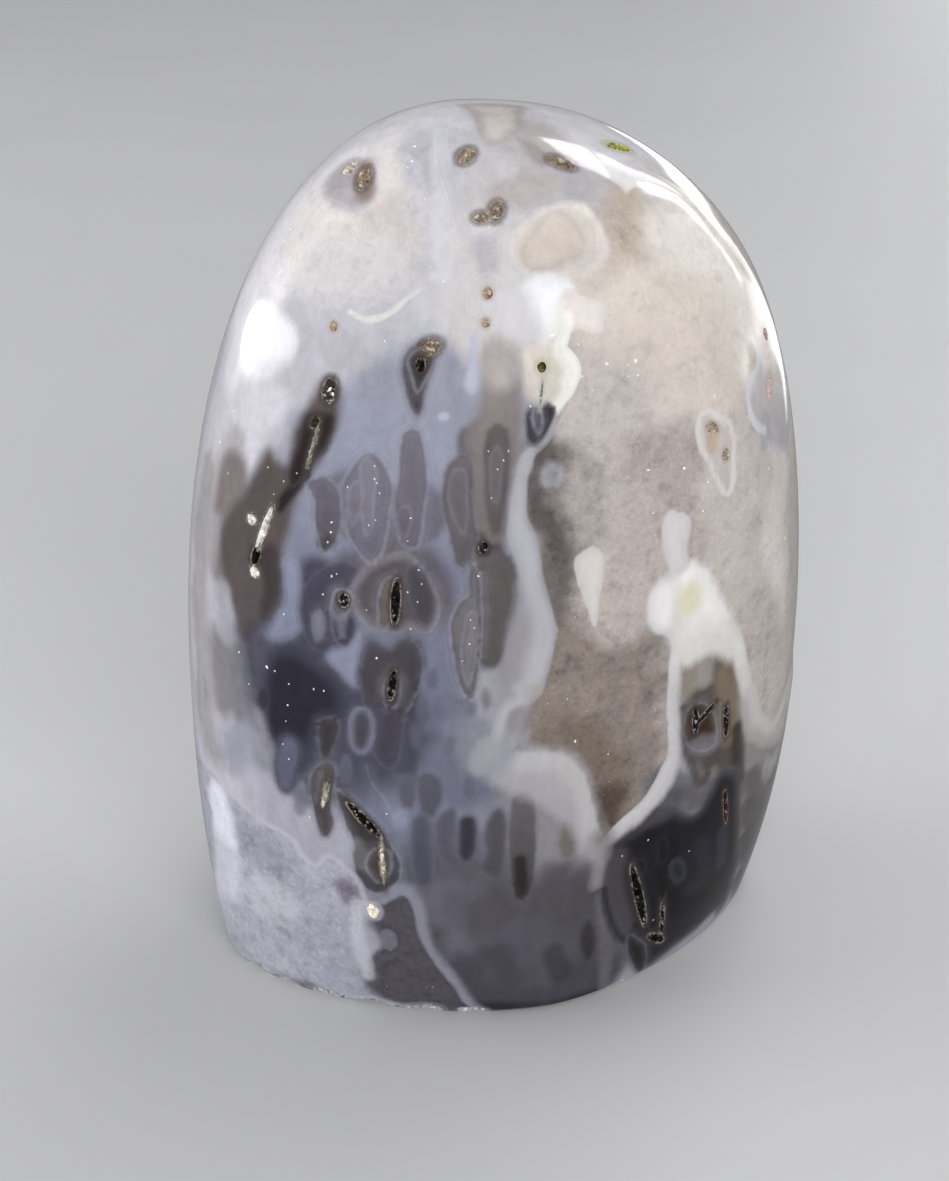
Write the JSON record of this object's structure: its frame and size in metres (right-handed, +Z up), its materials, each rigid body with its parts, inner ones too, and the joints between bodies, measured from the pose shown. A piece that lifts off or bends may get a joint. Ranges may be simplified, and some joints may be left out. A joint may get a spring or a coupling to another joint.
{
  "type": "polished agate free form",
  "caption": "Free-standing polished agate with a rounded top, a flat sawn base, a ground front rim and small open crystal vugs and cracks.",
  "frame": {"origin": "centre of the outline box at the sawn base, on the surface the stone stands on", "axes": "+Z up through the crown, -Y towards the polished show face, +X to the right of a viewer in front of that face"},
  "size_m": [0.0846, 0.0662, 0.12],
  "materials": {
    "agate": "polished, banded chalcedony and granular quartz, with rough crystal-lined pits"
  },
  "bodies": {
    "root": {"stone": "agate"}
  },
  "joints": []
}
